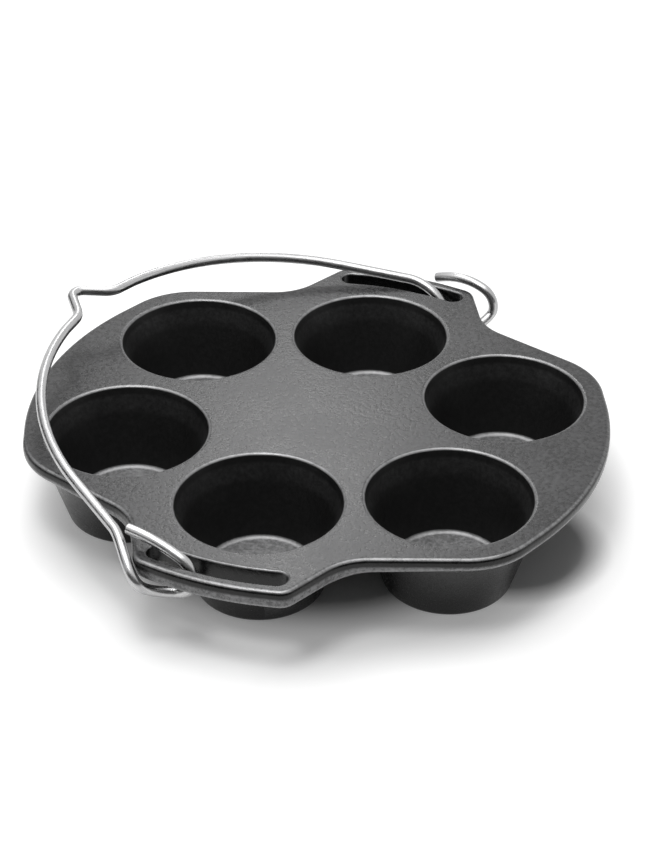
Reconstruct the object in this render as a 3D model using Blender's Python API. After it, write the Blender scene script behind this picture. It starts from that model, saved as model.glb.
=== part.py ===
"""Cast iron muffin pan with six cups, two slotted lugs and a bent-wire bail.

Lengths are in metres and +Z is up. The origin is the middle of the pan at the height of its
deck, the +Y lug is the far one, and the bail lies back towards -X. The casting is mirror
symmetric left to right and front to back.
"""
from math import acos, asin, atan2, ceil, cos, pi, radians, sin, sqrt, tan

import bmesh
import bpy
from mathutils import Vector

# Deck of the casting
DECK_THICKNESS = 0.0070
TOP_EDGE_ROUND = 0.0022
BOTTOM_EDGE_ROUND = 0.0028

# Cups: a middle pair on the Y axis and two pairs beside it
CUP_MOUTH_RADIUS = 0.0386
CUP_FLOOR_RADIUS = 0.0265
CUP_DEPTH = 0.0395
CUP_WALL = 0.0050
CUP_FLOOR_THICKNESS = 0.0065
CUP_RIM_ROUND = 0.0018
CUP_FLOOR_ROUND = 0.0028
CUP_ROOT_ROUND = 0.0016
CUP_FOOT_ROUND = 0.0040
MIDDLE_CUP_SET_OUT = 0.0389
PAIR_WEB = 0.0112
CUP_WEB = 0.0092692

# Lugs: a curved slot between the middle cup and an outer bar
CUP_TO_SLOT = 0.0099
SLOT_WIDTH = 0.0098
SLOT_LENGTH = 0.0660
SLOT_EDGE_ROUND = 0.0010
BAR_WIDTH = 0.0054
LUG_HALF_WIDTH = 0.0358
LUG_CORNER_RADIUS = 0.0085
LUG_SIDE_RUN = 0.0155
LUG_SIDE_DEPTH = 0.0314
LUG_THICKENING = 0.0024
LUG_THICKENS_FROM = 0.0940
LUG_THICKENS_OVER = 0.0180

# Sides of the deck beyond the outer cups
SIDE_RIM = 0.0207
SIDE_ARC_RADIUS = 0.147
SHOULDER_RADIUS = 0.027
CORNER_RADIUS = 0.038
BOWED_SHARE = 0.70

# Bail: wire, hinge line, arch and its peak
WIRE_DIAMETER = 0.0050
HINGE_DEPTH = 0.0009
BAIL_TURN = radians(11.9)
BAIL_LEAN = radians(80.7)
ARCH_SET_IN = 0.0108
ARCH_CENTRE_HEIGHT = 0.0058
PEAK_HEIGHT = 0.0157
PEAK_HALF_WIDTH = 0.0140
PEAK_ROUND = 0.0060
PEAK_FOOT_ROUND = 0.0120
LEG_END_HEIGHT = 0.0258
LEG_SET_IN = 0.0078
LEG_BEND_PULL = 0.0090
HOOK_BEND_PULL = 0.0106

# Bail: hooks round the outer bars of the lugs
BAR_CLEARANCE = 0.0018
CHORD_SET_IN = 0.0007
HOOK_RADIUS = 0.0101
HOOK_DROP = 0.0087
HOOK_SET_BACK = 0.0060
HOOK_ENTRY = radians(61)
HOOK_BEND = radians(227)
HOOK_TAIL = 0.0286
NEAR_CROSSING = (radians(-24), radians(88))
FAR_CROSSING = (radians(75), radians(147))
NEAR_TAIL_CURL = radians(21)
FAR_TAIL_CURL = radians(45)
TAIL_CURL_POWER = 1.4

# Fineness of the mesh
CUP_SIDES = 36
WIRE_SIDES = 10
ROUND_STEPS = 2
OUTLINE_STEP = 0.0060
SMALLEST_TURN = radians(15)
SMALL_ANGLE = radians(0.05)
ARCH_STEP = 0.0060
HOOK_STEP = 0.0024

# Where the sizes above put things
MIDDLE_CUP_Y = CUP_MOUTH_RADIUS + MIDDLE_CUP_SET_OUT
OUTER_CUP_Y = CUP_MOUTH_RADIUS + PAIR_WEB / 2
CUP_SPACING = 2 * CUP_MOUTH_RADIUS + CUP_WEB
OUTER_CUP_X = sqrt(CUP_SPACING**2 - (MIDDLE_CUP_Y - OUTER_CUP_Y) ** 2)
SLOT_INNER_RADIUS = MIDDLE_CUP_Y + CUP_MOUTH_RADIUS + CUP_TO_SLOT
SLOT_OUTER_RADIUS = SLOT_INNER_RADIUS + SLOT_WIDTH
LUG_REACH = SLOT_OUTER_RADIUS + BAR_WIDTH
SIDE_REACH = OUTER_CUP_X + CUP_MOUTH_RADIUS + SIDE_RIM
CORNER_Y = OUTER_CUP_Y + CUP_MOUTH_RADIUS
CUP_CENTRES = (
    [(0, y * MIDDLE_CUP_Y) for y in (-1, 1)]
    + [(x * OUTER_CUP_X, y * OUTER_CUP_Y) for x in (-1, 1) for y in (-1, 1)]
)
HALF_CHORD = LUG_REACH - BAR_WIDTH / 2 - CHORD_SET_IN
ARCH_RADIUS = HALF_CHORD - ARCH_SET_IN
STRAND_OFFSET = BAR_WIDTH / 2 + BAR_CLEARANCE + WIRE_DIAMETER / 2


def material(name, color, metallic, roughness):
    """A Principled BSDF material."""
    mat = bpy.data.materials.new(name)
    mat.use_nodes = True
    shader = mat.node_tree.nodes["Principled BSDF"]
    shader.inputs["Base Color"].default_value = (*color, 1)
    shader.inputs["Metallic"].default_value = metallic
    shader.inputs["Roughness"].default_value = roughness
    return mat


def arc(centre, radius, start, turn, step):
    """Points along an arc, both ends included."""
    count = max(2, ceil(abs(turn) / step))
    angles = [start + turn * i / count for i in range(count + 1)]
    return [Vector((centre[0] + radius * cos(a), centre[1] + radius * sin(a))) for a in angles]


def rounded_corner(before, corner, after, radius, step):
    """Points of the arc that rounds off one corner of a polyline."""
    before, corner, after = Vector(before), Vector(corner), Vector(after)
    back = (before - corner).normalized()
    ahead = (after - corner).normalized()
    half = back.angle(ahead) / 2
    centre = corner + (back + ahead).normalized() * radius / sin(half)
    first = corner + back * radius / tan(half) - centre
    turn = pi - 2 * half
    if back.cross(ahead) > 0:
        turn = -turn
    return arc(centre, radius, atan2(first.y, first.x), turn, step)


def rounded_polygon(corners):
    """A closed outline of straight runs, each corner (x, y, radius) rounded."""
    points = []
    for i, (x, y, radius) in enumerate(corners):
        before = corners[i - 1][:2]
        after = corners[(i + 1) % len(corners)][:2]
        step = min(SMALLEST_TURN, OUTLINE_STEP / radius)
        points += rounded_corner(before, (x, y), after, radius, step)
    return points


def rounded_profile(corners):
    """The rounded corners (x, z, radius) of an open profile, without its two end points."""
    points = []
    for before, (x, z, radius), after in zip(corners, corners[1:], corners[2:]):
        points += rounded_corner(before[:2], (x, z), after[:2], radius, radians(90) / ROUND_STEPS)
    return points


def bowed_end(reach, radius, half_width):
    """Where the tangents of a bowed end cross its axis, and where they end at its corners."""
    lean = asin(BOWED_SHARE * half_width / radius)
    apex = reach + radius * (1 / cos(lean) - 1)
    return apex, apex - half_width * tan(lean)


def deck_outline():
    """The deck's outline, counter-clockwise from the right-hand side."""
    side_apex, corner_x = bowed_end(SIDE_REACH, SIDE_ARC_RADIUS, CORNER_Y)
    lug_apex, lug_corner_y = bowed_end(LUG_REACH, LUG_REACH, LUG_HALF_WIDTH)
    shoulder = (LUG_HALF_WIDTH + LUG_SIDE_RUN, lug_corner_y - LUG_SIDE_DEPTH)
    quarter = [
        (corner_x, CORNER_Y, CORNER_RADIUS),
        (*shoulder, SHOULDER_RADIUS),
        (LUG_HALF_WIDTH, lug_corner_y, LUG_CORNER_RADIUS),
    ]
    right_to_left = (
        [(side_apex, 0, SIDE_ARC_RADIUS)]
        + quarter
        + [(0, lug_apex, LUG_REACH)]
        + [(-x, y, r) for x, y, r in reversed(quarter)]
    )
    corners = right_to_left + [(-x, -y, r) for x, y, r in right_to_left]
    return rounded_polygon(corners)


def slot_outline(side):
    """A slot's outline, curved about the middle of the pan, with round ends."""
    half_width = SLOT_WIDTH / 2
    middle = SLOT_INNER_RADIUS + half_width
    half_angle = (SLOT_LENGTH / 2 - half_width) / middle
    step = OUTLINE_STEP / middle
    up = side * pi / 2
    points = arc((0, 0), SLOT_OUTER_RADIUS, up - half_angle, 2 * half_angle, step)
    for end in (1, -1):
        angle = up + end * half_angle
        centre = (middle * cos(angle), middle * sin(angle))
        start = angle if end > 0 else angle + pi
        points += arc(centre, half_width, start, pi, pi / 6)[1:-1]
        if end > 0:
            points += arc((0, 0), SLOT_INNER_RADIUS, up + half_angle, -2 * half_angle, step)
    return points


def outward_normals(points):
    """The outward direction at each point of a counter-clockwise outline."""
    normals = []
    for i in range(len(points)):
        along = points[(i + 1) % len(points)] - points[i - 1]
        normals.append(Vector((along.y, -along.x)).normalized())
    return normals


def ease(share):
    """0 to 1, with a level start and finish."""
    share = min(1, max(0, share))
    return share * share * (3 - 2 * share)


def lug_drop(y):
    """How far the underside of the deck lies lower at y than in the middle of the pan."""
    return LUG_THICKENING * ease((abs(y) - LUG_THICKENS_FROM) / LUG_THICKENS_OVER)


def skirt(bm, outline, profile, thickens=False):
    """A wall that follows an outline, one loop for each (outward offset, height) of its profile.

    The lower half of a wall that thickens follows the underside down at the lugs.
    """
    normals = outward_normals(outline)
    loops = []
    for offset, z in profile:
        points = [p + n * offset for p, n in zip(outline, normals)]
        lower = thickens and z < -DECK_THICKNESS / 2
        drops = [lug_drop(p.y) if lower else 0 for p in outline]
        loops.append([bm.verts.new((p.x, p.y, z - drop)) for p, drop in zip(points, drops)])
    for lower, upper in zip(loops, loops[1:]):
        for i in range(len(outline)):
            j = (i + 1) % len(outline)
            bm.faces.new((lower[i], lower[j], upper[j], upper[i]))
    return loops[0], loops[-1]


def loop_edges(loops):
    """The edges round each loop of vertices."""
    edges = []
    for loop in loops:
        for i, vert in enumerate(loop):
            edge = next(e for e in vert.link_edges if e.other_vert(vert) is loop[i - 1])
            edges.append(edge)
    return edges


def add_object(name, bm, mat):
    """A named object made of a finished bmesh, shaded smooth apart from its sharp edges."""
    bmesh.ops.recalc_face_normals(bm, faces=bm.faces)
    mesh = bpy.data.meshes.new(name)
    bm.to_mesh(mesh)
    bm.free()
    mesh.shade_smooth()
    mesh.set_sharp_from_angle(angle=radians(35))
    mesh.materials.append(mat)
    obj = bpy.data.objects.new(name, mesh)
    bpy.context.collection.objects.link(obj)
    return obj


def pan_casting():
    """Deck, six cups and two slotted lugs as one body.

    The top of the deck is one flat face with holes. Its underside is another, which dips
    at the lugs, where the deck is thicker. Every edge of them is the end of a wall: the
    deck's rim, the slots' walls, and the cups' inner and outer skins.
    """
    bm = bmesh.new()
    top_loops = []
    under_loops = []

    rim = [
        (-DECK_THICKNESS, 0, 0),
        (0, 0, TOP_EDGE_ROUND),
        (0, -DECK_THICKNESS, BOTTOM_EDGE_ROUND),
        (-DECK_THICKNESS, -DECK_THICKNESS, 0),
    ]
    slot = [
        (SLOT_WIDTH, 0, 0),
        (0, 0, SLOT_EDGE_ROUND),
        (0, -DECK_THICKNESS, SLOT_EDGE_ROUND),
        (SLOT_WIDTH, -DECK_THICKNESS, 0),
    ]
    walls = [(deck_outline(), rim)] + [(slot_outline(side), slot) for side in (1, -1)]
    for outline, corners in walls:
        top, under = skirt(bm, outline, rounded_profile(corners), thickens=True)
        top_loops.append(top)
        under_loops.append(under)

    wall_slope = (CUP_MOUTH_RADIUS - CUP_FLOOR_RADIUS) / CUP_DEPTH
    root_radius = CUP_MOUTH_RADIUS + CUP_WALL - wall_slope * DECK_THICKNESS
    foot_depth = CUP_DEPTH + CUP_FLOOR_THICKNESS
    foot_radius = CUP_MOUTH_RADIUS + CUP_WALL - wall_slope * foot_depth
    inside = [
        (2 * CUP_MOUTH_RADIUS, 0, 0),
        (CUP_MOUTH_RADIUS, 0, CUP_RIM_ROUND),
        (CUP_FLOOR_RADIUS, -CUP_DEPTH, CUP_FLOOR_ROUND),
        (0, -CUP_DEPTH, 0),
    ]
    outside = [
        (2 * root_radius, -DECK_THICKNESS, 0),
        (root_radius, -DECK_THICKNESS, CUP_ROOT_ROUND),
        (foot_radius, -foot_depth, CUP_FOOT_ROUND),
        (0, -foot_depth, 0),
    ]
    for centre in CUP_CENTRES:
        circle = arc(centre, CUP_MOUTH_RADIUS, 0, 2 * pi, 2 * pi / CUP_SIDES)[:-1]
        for corners, flat_loops in ((inside, top_loops), (outside, under_loops)):
            profile = [(r - CUP_MOUTH_RADIUS, z) for r, z in rounded_profile(corners)]
            edge, floor = skirt(bm, circle, profile)
            flat_loops.append(edge)
            bm.faces.new(floor)

    for loops in (top_loops, under_loops):
        edges = loop_edges(loops)
        bmesh.ops.triangle_fill(bm, edges=edges, use_beauty=True, normal=(0, 0, 1))

    iron = material("seasoned_iron", (0.055, 0.055, 0.057), 0.6, 0.55)
    return add_object("pan_casting", bm, iron)


def bezier(start, start_pull, end, end_pull, step):
    """Points along a cubic Bezier curve, without its first point."""
    count = max(2, ceil((end - start).length / step))
    points = []
    for i in range(1, count + 1):
        t = i / count
        s = 1 - t
        near = start * s**3 + (start + start_pull) * 3 * s * s * t
        far = (end - end_pull) * 3 * s * t * t + end * t**3
        points.append(near + far)
    return points


def bail_side(end):
    """Centreline from the peak to the cut end on the near (-1) or far (+1) side.

    It is in the bail's own frame: X forward of the hinge line, Y along it and Z up the arch.
    """
    # Peak, in Y and Z
    top = ARCH_CENTRE_HEIGHT + ARCH_RADIUS
    centre = Vector((0, ARCH_CENTRE_HEIGHT))
    shoulder_angle = asin(2 * PEAK_HALF_WIDTH / ARCH_RADIUS)
    shoulder = centre + ARCH_RADIUS * Vector((sin(shoulder_angle), cos(shoulder_angle)))
    foot_angle = asin(PEAK_HALF_WIDTH / ARCH_RADIUS)
    foot = centre + ARCH_RADIUS * Vector((sin(foot_angle), cos(foot_angle)))
    peak = Vector((0, top + PEAK_HEIGHT))
    turn = SMALLEST_TURN
    crest = rounded_corner((-foot.x, foot.y), peak, foot, PEAK_ROUND, turn / 2)
    plane = crest[len(crest) // 2:]
    plane += rounded_corner(peak, foot, shoulder, PEAK_FOOT_ROUND, turn)

    # Arch, then a straight leg that leaves it at a tangent
    leg_end = Vector((HALF_CHORD - LEG_SET_IN, LEG_END_HEIGHT))
    reach = leg_end - centre
    leaving = atan2(reach.y, reach.x) + acos(ARCH_RADIUS / reach.length)
    start = pi / 2 - shoulder_angle
    plane += arc(centre, ARCH_RADIUS, start, leaving - start, ARCH_STEP / ARCH_RADIUS)
    leg = leg_end - plane[-1]
    count = ceil(leg.length / ARCH_STEP)
    plane += [plane[-1] + leg * i / count for i in range(1, count + 1)]
    path = [Vector((0, end * p.x, p.y)) for p in plane]

    # Round hook behind the hinge line, which crosses under the bar to its other side
    hook = Vector((-HOOK_SET_BACK, 0, -HOOK_DROP))
    cross_from, cross_to = NEAR_CROSSING if end < 0 else FAR_CROSSING

    def strand(angle):
        """A point of the round hook, angle past the place where the leg enters it."""
        phase = HOOK_ENTRY - angle
        across = end * HALF_CHORD + STRAND_OFFSET * (
            2 * ease((angle - cross_from) / (cross_to - cross_from)) - 1
        )
        return hook + Vector((-HOOK_RADIUS * cos(phase), across, HOOK_RADIUS * sin(phase)))

    entry = strand(0)
    leg_way = Vector((0, end * leg.x, leg.y)).normalized()
    entry_way = (strand(SMALL_ANGLE) - entry).normalized()
    path += bezier(path[-1], leg_way * LEG_BEND_PULL, entry, entry_way * HOOK_BEND_PULL, HOOK_STEP)
    count = ceil(HOOK_BEND * HOOK_RADIUS / HOOK_STEP)
    path += [strand(HOOK_BEND * i / count) for i in range(1, count + 1)]

    # Tail, which curls less and less up to its cut end
    curl = NEAR_TAIL_CURL if end < 0 else FAR_TAIL_CURL
    count = ceil(HOOK_TAIL / HOOK_STEP / 2)
    for i in range(count):
        left = 1 - (i + 0.5) / count
        phase = HOOK_ENTRY - HOOK_BEND - curl * (1 - left**TAIL_CURL_POWER)
        way = Vector((-sin(phase), 0, -cos(phase)))
        path.append(path[-1] + way * HOOK_TAIL / count)
    return path


def bail_handle():
    """The bail as one bent wire. Its object's origin is on the hinge line."""
    near = bail_side(-1)
    far = bail_side(1)
    path = near[::-1] + far[1:]
    curve = bpy.data.curves.new("bail_handle", "CURVE")
    curve.dimensions = "3D"
    curve.bevel_depth = WIRE_DIAMETER / 2
    curve.bevel_resolution = WIRE_SIDES // 2 - 2
    curve.use_fill_caps = True
    curve.twist_mode = "MINIMUM"
    spline = curve.splines.new("POLY")
    spline.points.add(len(path) - 1)
    for point, place in zip(spline.points, path):
        point.co = (*place, 1)
    steel = material("bright_steel", (0.62, 0.62, 0.61), 1.0, 0.25)
    curve.materials.append(steel)
    obj = bpy.data.objects.new("bail_handle", curve)
    obj.location = (0, 0, -HINGE_DEPTH)
    obj.rotation_euler = (0, -BAIL_LEAN, -BAIL_TURN)
    bpy.context.collection.objects.link(obj)
    return obj


def main():
    for obj in list(bpy.data.objects):
        bpy.data.objects.remove(obj, do_unlink=True)
    pan_casting()
    bail_handle()


main()
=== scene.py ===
# %% [markdown]
# # A cast iron muffin pan with a wire bail
#
# The pan is one iron casting: a flat waisted deck, six deep tapered cups and a slotted lug at
# each end. One bent steel wire hooks into the slots as a bail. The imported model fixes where
# both pieces are and how the bail swings. This script builds them again with finer curves,
# gives them their finishes, and sets the light, the floor and the camera round them.

from math import acos, asin, atan2, ceil, cos, pi, radians, sin, sqrt, tan

import bmesh
import bpy
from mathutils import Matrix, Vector
from mathutils.geometry import delaunay_2d_cdt


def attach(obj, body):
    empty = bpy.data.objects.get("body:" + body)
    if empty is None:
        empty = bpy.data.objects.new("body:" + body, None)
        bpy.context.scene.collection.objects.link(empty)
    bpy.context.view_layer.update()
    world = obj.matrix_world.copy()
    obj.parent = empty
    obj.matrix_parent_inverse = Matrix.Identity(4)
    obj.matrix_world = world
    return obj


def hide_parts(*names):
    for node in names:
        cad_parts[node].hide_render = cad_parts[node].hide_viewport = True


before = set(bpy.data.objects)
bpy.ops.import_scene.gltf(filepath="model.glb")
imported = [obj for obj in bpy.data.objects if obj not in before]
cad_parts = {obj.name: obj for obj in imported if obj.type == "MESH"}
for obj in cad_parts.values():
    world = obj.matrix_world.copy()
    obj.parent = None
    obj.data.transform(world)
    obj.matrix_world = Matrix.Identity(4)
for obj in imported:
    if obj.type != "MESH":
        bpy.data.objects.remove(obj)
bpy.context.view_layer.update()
scene = bpy.context.scene

# %% [markdown]
# ## The sizes of the casting
#
# Every length is in metres, and the origin is the middle of the deck's top face. The sizes are
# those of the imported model, so the finer pan keeps to its box. Only the small rounds are split
# into more steps here, because a highlight that runs along a coarse round breaks into facets.

# %% Sizes of the casting
DECK_THICKNESS = 0.0070
TOP_EDGE_ROUND = 0.0022
BOTTOM_EDGE_ROUND = 0.0028
CUP_MOUTH_RADIUS = 0.0386
CUP_FLOOR_RADIUS = 0.0265
CUP_DEPTH = 0.0395
CUP_WALL = 0.0050
CUP_FLOOR_THICKNESS = 0.0065
CUP_RIM_ROUND = 0.0018
CUP_FLOOR_ROUND = 0.0028
CUP_ROOT_ROUND = 0.0016
CUP_FOOT_ROUND = 0.0040
MIDDLE_CUP_SET_OUT = 0.0389
PAIR_WEB = 0.0112
CUP_WEB = 0.0092692

CUP_TO_SLOT = 0.0099
SLOT_WIDTH = 0.0098
SLOT_LENGTH = 0.0660
SLOT_EDGE_ROUND = 0.0010
BAR_WIDTH = 0.0054
LUG_HALF_WIDTH = 0.0358
LUG_CORNER_RADIUS = 0.0085
LUG_SIDE_RUN = 0.0155
LUG_SIDE_DEPTH = 0.0314
LUG_THICKENING = 0.0024
LUG_THICKENS_FROM = 0.0940
LUG_THICKENS_OVER = 0.0180
SIDE_RIM = 0.0207
SIDE_ARC_RADIUS = 0.147
SHOULDER_RADIUS = 0.027
CORNER_RADIUS = 0.038
BOWED_SHARE = 0.70

MIDDLE_CUP_Y = CUP_MOUTH_RADIUS + MIDDLE_CUP_SET_OUT
OUTER_CUP_Y = CUP_MOUTH_RADIUS + PAIR_WEB / 2
CUP_SPACING = 2 * CUP_MOUTH_RADIUS + CUP_WEB
OUTER_CUP_X = sqrt(CUP_SPACING**2 - (MIDDLE_CUP_Y - OUTER_CUP_Y) ** 2)
SLOT_INNER_RADIUS = MIDDLE_CUP_Y + CUP_MOUTH_RADIUS + CUP_TO_SLOT
SLOT_OUTER_RADIUS = SLOT_INNER_RADIUS + SLOT_WIDTH
LUG_REACH = SLOT_OUTER_RADIUS + BAR_WIDTH
SIDE_REACH = OUTER_CUP_X + CUP_MOUTH_RADIUS + SIDE_RIM
CORNER_Y = OUTER_CUP_Y + CUP_MOUTH_RADIUS
CUP_CENTRES = (
    [(0, y * MIDDLE_CUP_Y) for y in (-1, 1)]
    + [(x * OUTER_CUP_X, y * OUTER_CUP_Y) for x in (-1, 1) for y in (-1, 1)]
)

CUP_SIDES = 128
ROUND_STEP = radians(12)
OUTLINE_STEP = 0.0020
WIDEST_TURN = radians(8)
SLOT_END_TURN = pi / 14
FLAT_BAND = 0.0004
print(f"deck {2 * SIDE_REACH * 1000:.0f} by {2 * LUG_REACH * 1000:.0f} mm, {len(CUP_CENTRES)} cups")

# %% [markdown]
# ## Arcs and rounded corners
#
# The outline of the deck, the slots and the walls' profiles are all the same thing: straight or
# bowed runs that meet at rounded corners. Three helpers are enough for all of them. One lists
# the points of an arc, one finds the arc that rounds off a corner, and one rounds off all the
# corners of a profile.

# %% Helpers for arcs and corners
def arc(centre, radius, start, turn, step):
    """Points along an arc, both ends included."""
    count = max(2, ceil(abs(turn) / step))
    angles = [start + turn * i / count for i in range(count + 1)]
    return [Vector((centre[0] + radius * cos(a), centre[1] + radius * sin(a))) for a in angles]


def rounded_corner(before, corner, after, radius, step):
    """Points of the arc that rounds off one corner of a polyline."""
    before, corner, after = Vector(before), Vector(corner), Vector(after)
    back = (before - corner).normalized()
    ahead = (after - corner).normalized()
    half = back.angle(ahead) / 2
    centre = corner + (back + ahead).normalized() * radius / sin(half)
    first = corner + back * radius / tan(half) - centre
    turn = pi - 2 * half
    if back.cross(ahead) > 0:
        turn = -turn
    return arc(centre, radius, atan2(first.y, first.x), turn, step)


def rounded_profile(corners):
    """Points along an open profile whose inner corners (x, z, radius) are rounded."""
    points = []
    for before, (x, z, radius), after in zip(corners, corners[1:], corners[2:]):
        points += rounded_corner(before[:2], (x, z), after[:2], radius, ROUND_STEP)
    return points


# %% [markdown]
# ## The deck's outline
#
# Seen from above, the deck swells round the outer cups, draws in at four shoulders and runs out
# to a lug at each end. Both long sides and both lug ends are shallow bows. A quarter of the
# outline is enough, because the pan is the same left to right and front to back.

# %% Outlines of the deck and of a slot
def bowed_end(reach, radius, half_width):
    """Where the tangents of a bowed end cross its axis, and where they end at its corners."""
    lean = asin(BOWED_SHARE * half_width / radius)
    apex = reach + radius * (1 / cos(lean) - 1)
    return apex, apex - half_width * tan(lean)


def deck_outline():
    """The deck's outline, counter-clockwise from the right-hand side."""
    side_apex, corner_x = bowed_end(SIDE_REACH, SIDE_ARC_RADIUS, CORNER_Y)
    lug_apex, lug_corner_y = bowed_end(LUG_REACH, LUG_REACH, LUG_HALF_WIDTH)
    quarter = [
        (corner_x, CORNER_Y, CORNER_RADIUS),
        (LUG_HALF_WIDTH + LUG_SIDE_RUN, lug_corner_y - LUG_SIDE_DEPTH, SHOULDER_RADIUS),
        (LUG_HALF_WIDTH, lug_corner_y, LUG_CORNER_RADIUS),
    ]
    half = [(side_apex, 0, SIDE_ARC_RADIUS), *quarter, (0, lug_apex, LUG_REACH)]
    half += [(-x, y, r) for x, y, r in reversed(quarter)]
    corners = half + [(-x, -y, r) for x, y, r in half]
    points = []
    for i, (x, y, radius) in enumerate(corners):
        before = corners[i - 1][:2]
        after = corners[(i + 1) % len(corners)][:2]
        step = min(WIDEST_TURN, OUTLINE_STEP / radius)
        points += rounded_corner(before, (x, y), after, radius, step)
    return points


def slot_outline(side):
    """A slot's outline, curved about the middle of the pan, with round ends."""
    half_width = SLOT_WIDTH / 2
    middle = SLOT_INNER_RADIUS + half_width
    half_angle = (SLOT_LENGTH / 2 - half_width) / middle
    step = OUTLINE_STEP / middle
    up = side * pi / 2
    points = arc((0, 0), SLOT_OUTER_RADIUS, up - half_angle, 2 * half_angle, step)
    for end in (1, -1):
        angle = up + end * half_angle
        centre = (middle * cos(angle), middle * sin(angle))
        start = angle if end > 0 else angle + pi
        points += arc(centre, half_width, start, pi, SLOT_END_TURN)[1:-1]
        if end > 0:
            points += arc((0, 0), SLOT_INNER_RADIUS, up + half_angle, -2 * half_angle, step)
    return points


outline = deck_outline()
slots = [slot_outline(side) for side in (1, -1)]
print(f"outline of {len(outline)} points, slots of {len(slots[0])} points each")

# %% [markdown]
# ## Six cups from one profile
#
# On the real pan all six cups come from the same pattern. Geometry Nodes suit that: a profile
# is swept round a circle, the poles in the middle of the floor are merged, and the result is
# set on each of six points. The profile has two lines, one for the inside from the rim to the
# floor, and one for the outside from the root under the deck to the foot. Each starts with a
# narrow flat band, so that the deck beside it keeps a straight shading normal.

# %% Profile of a cup's inside and outside
def flat_object(name, lines):
    """A mesh object of bare edges, one run for each line of (x, y) points."""
    verts = [(p[0], p[1], 0) for line in lines for p in line]
    edges = []
    first = 0
    for line in lines:
        edges += [(first + i, first + i + 1) for i in range(len(line) - 1)]
        first += len(line)
    mesh = bpy.data.meshes.new(name)
    mesh.from_pydata(verts, edges, [])
    obj = bpy.data.objects.new(name, mesh)
    scene.collection.objects.link(obj)
    return obj


wall_slope = (CUP_MOUTH_RADIUS - CUP_FLOOR_RADIUS) / CUP_DEPTH
root_radius = CUP_MOUTH_RADIUS + CUP_WALL - wall_slope * DECK_THICKNESS
foot_depth = CUP_DEPTH + CUP_FLOOR_THICKNESS
foot_radius = CUP_MOUTH_RADIUS + CUP_WALL - wall_slope * foot_depth
inside = rounded_profile([
    (2 * CUP_MOUTH_RADIUS, 0, 0),
    (CUP_MOUTH_RADIUS, 0, CUP_RIM_ROUND),
    (CUP_FLOOR_RADIUS, -CUP_DEPTH, CUP_FLOOR_ROUND),
    (0, -CUP_DEPTH, 0),
])
outside = rounded_profile([
    (2 * root_radius, -DECK_THICKNESS, 0),
    (root_radius, -DECK_THICKNESS, CUP_ROOT_ROUND),
    (foot_radius, -foot_depth, CUP_FOOT_ROUND),
    (0, -foot_depth, 0),
])
cup_lines = []
for line in (inside, outside):
    start, end = line[0], line[-1]
    band = [Vector((start.x + FLAT_BAND, start.y))]
    pole = [Vector((end.x - FLAT_BAND, end.y)), Vector((0, end.y))]
    cup_lines.append(band + line + pole)
mouth_loop_radius = cup_lines[0][0].x
root_loop_radius = cup_lines[1][0].x
print(f"mouth edge starts at {mouth_loop_radius * 1000:.2f} mm, root at {root_loop_radius * 1000:.2f}")

# %% Geometry Nodes that sweep the profile and set six cups
MERGE_DISTANCE = 1e-5


def node(tree, kind, **inputs):
    """Adds a node and sets the inputs that are given by name."""
    made = tree.nodes.new(kind)
    for name, value in inputs.items():
        made.inputs[name.replace("_", " ")].default_value = value
    return made


def cup_tree(iron):
    """Sweeps a profile round a circle and puts the cup on every point of the mesh."""
    tree = bpy.data.node_groups.new("muffin_cups", "GeometryNodeTree")
    sockets = tree.interface
    sockets.new_socket("Centres", in_out="INPUT", socket_type="NodeSocketGeometry")
    sockets.new_socket("Profile", in_out="INPUT", socket_type="NodeSocketObject")
    sockets.new_socket("Sides", in_out="INPUT", socket_type="NodeSocketInt")
    sockets.new_socket("Sweep radius", in_out="INPUT", socket_type="NodeSocketFloat")
    sockets.new_socket("Cups", in_out="OUTPUT", socket_type="NodeSocketGeometry")
    link = tree.links.new
    given = tree.nodes.new("NodeGroupInput")
    result = tree.nodes.new("NodeGroupOutput")
    profile = node(tree, "GeometryNodeObjectInfo")
    profile_curve = node(tree, "GeometryNodeMeshToCurve")
    circle = node(tree, "GeometryNodeCurvePrimitiveCircle")
    sweep = node(tree, "GeometryNodeCurveToMesh")
    merge = node(tree, "GeometryNodeMergeByDistance", Distance=MERGE_DISTANCE)
    place = node(tree, "GeometryNodeInstanceOnPoints")
    realize = node(tree, "GeometryNodeRealizeInstances")
    paint = node(tree, "GeometryNodeSetMaterial", Material=iron)
    link(given.outputs["Profile"], profile.inputs["Object"])
    link(profile.outputs["Geometry"], profile_curve.inputs["Mesh"])
    link(given.outputs["Sides"], circle.inputs["Resolution"])
    link(given.outputs["Sweep radius"], circle.inputs["Radius"])
    link(circle.outputs["Curve"], sweep.inputs["Curve"])
    link(profile_curve.outputs["Curve"], sweep.inputs["Profile Curve"])
    link(sweep.outputs["Mesh"], merge.inputs["Geometry"])
    link(given.outputs["Centres"], place.inputs["Points"])
    link(merge.outputs["Geometry"], place.inputs["Instance"])
    link(place.outputs["Instances"], realize.inputs["Geometry"])
    link(realize.outputs["Geometry"], paint.inputs["Geometry"])
    link(paint.outputs["Geometry"], result.inputs["Cups"])
    return tree


def set_input(modifier, name, value):
    """Sets a modifier's input by its socket's identifier."""
    for item in modifier.node_group.interface.items_tree:
        if item.item_type == "SOCKET" and item.in_out == "INPUT" and item.name == name:
            modifier[item.identifier] = value


def evaluated_mesh(obj, name):
    """The evaluated object as a plain mesh."""
    depsgraph = bpy.context.evaluated_depsgraph_get()
    made = bpy.data.meshes.new_from_object(obj.evaluated_get(depsgraph), depsgraph=depsgraph)
    made.name = name
    return made


# %% [markdown]
# ## Short names for the steps of a material
#
# A material is a chain of small steps: read a noise, stretch its middle over a range, mix two
# colours by a mask. Each step is one node, so each gets a short function here, and the finishes
# below then read almost like recipes. The ones for sums serve in Geometry Nodes too.

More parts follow.
